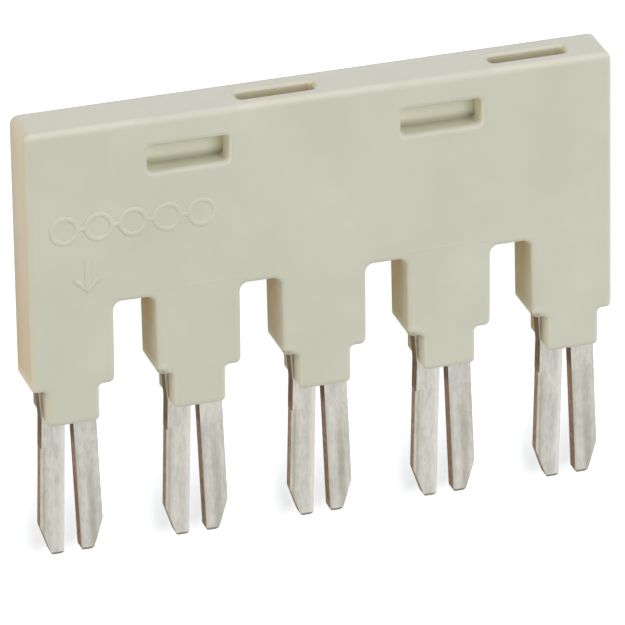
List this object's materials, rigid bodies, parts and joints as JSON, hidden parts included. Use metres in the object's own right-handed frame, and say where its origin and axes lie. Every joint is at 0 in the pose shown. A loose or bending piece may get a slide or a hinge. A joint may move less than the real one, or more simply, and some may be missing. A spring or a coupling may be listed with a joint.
{
  "type": "terminal block jumper bar",
  "caption": "Flat plug-in jumper bar: a moulded plastic cover with legs, round a stamped metal comb whose splayed forks stand out below each leg.",
  "frame": {"origin": "middle of the bounding box in X and Y, on the back face of the cover", "axes": "+X along the bar, +Y from the tips of the forks to the top face, +Z out of the front face with the two recesses"},
  "size_m": [0.0278, 0.0218, 0.0024],
  "materials": {
    "cover": "satin moulded polyamide, warm light grey",
    "comb": "tinned copper strip, satin, with duller sheared edges"
  },
  "bodies": {
    "root": {"insulating_cover": "cover", "contact_comb": "comb"}
  },
  "joints": []
}
